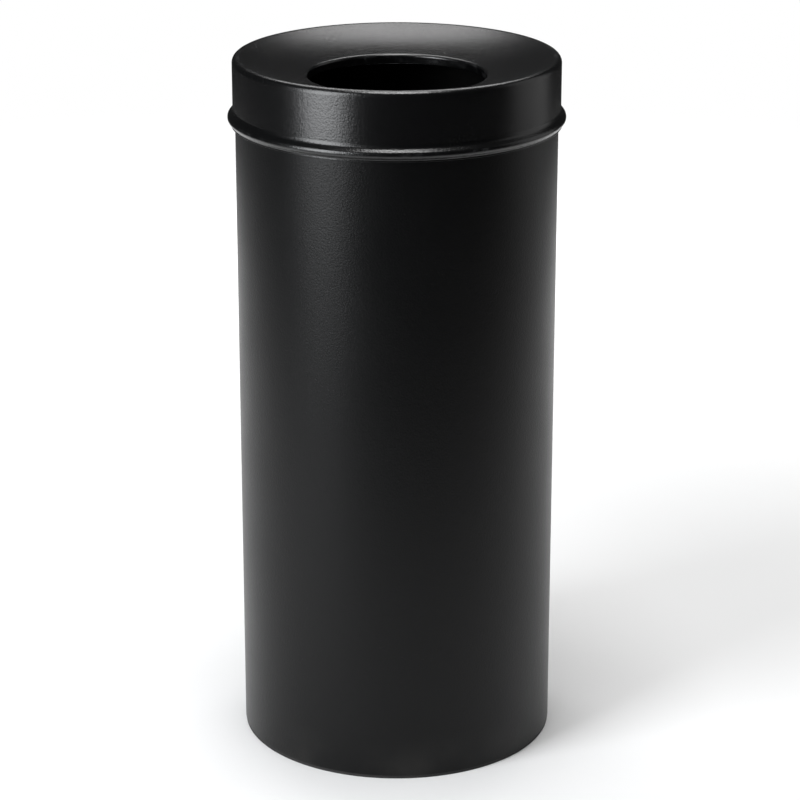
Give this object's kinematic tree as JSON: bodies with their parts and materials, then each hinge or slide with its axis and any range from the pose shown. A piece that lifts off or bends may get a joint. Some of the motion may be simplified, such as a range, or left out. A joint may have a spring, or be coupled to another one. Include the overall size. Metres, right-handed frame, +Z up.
{
  "type": "litter bin",
  "caption": "Round free-standing steel litter bin with a lift-off funnel lid, a wide round opening, and a lift-out metal liner with a carrying bail inside.",
  "frame": {"origin": "centre of the base, on the ground", "axes": "+Z up along the bin's axis, the front is -Y, +X to the right"},
  "size_m": [0.314, 0.314, 0.665],
  "materials": {
    "black_powder_coat": "fine satin black powder coat on sheet steel",
    "galvanised_sheet": "hot-dip galvanised sheet with a faint spangle",
    "zinc_wire": "drawn and zinc-plated steel wire",
    "rivet_steel": "bright plated steel rivets",
    "black_rubber": "matt black rubber",
    "black_plastic": "moulded matt black plastic sleeve"
  },
  "bodies": {
    "outer_body": {"body_shell": "black_powder_coat", "base_pan": "black_powder_coat", "foot_ring": "black_rubber"},
    "liner": {"liner_shell": "galvanised_sheet", "liner_rim_wire": "zinc_wire", "liner_base": "galvanised_sheet", "liner_ear_right": "galvanised_sheet", "liner_ear_left": "galvanised_sheet", "liner_ear_rivets": "rivet_steel"},
    "bail": {"liner_bail": "zinc_wire", "bail_grip": "black_plastic"},
    "lid": {"lid_skirt": "black_powder_coat", "lid_funnel": "black_powder_coat", "lid_rest_1": "black_powder_coat", "lid_rest_2": "black_powder_coat", "lid_rest_3": "black_powder_coat", "lid_rest_4": "black_powder_coat", "lid_pad_1": "black_rubber", "lid_pad_2": "black_rubber", "lid_pad_3": "black_rubber", "lid_pad_4": "black_rubber"}
  },
  "joints": [
    {"name": "liner_lift", "type": "slide", "parent": "outer_body", "child": "liner", "axis": [0, 0, 1], "range_m": [0, 0.65]},
    {"name": "bail_swing", "type": "hinge", "parent": "liner", "child": "bail", "pos_m": [0, 0, 0.48958], "axis": [-1, 0, 0], "range_deg": [0, 180]},
    {"name": "lid_lift", "type": "slide", "parent": "liner", "child": "lid", "axis": [0, 0, 1], "range_m": [0, 0.25]}
  ]
}
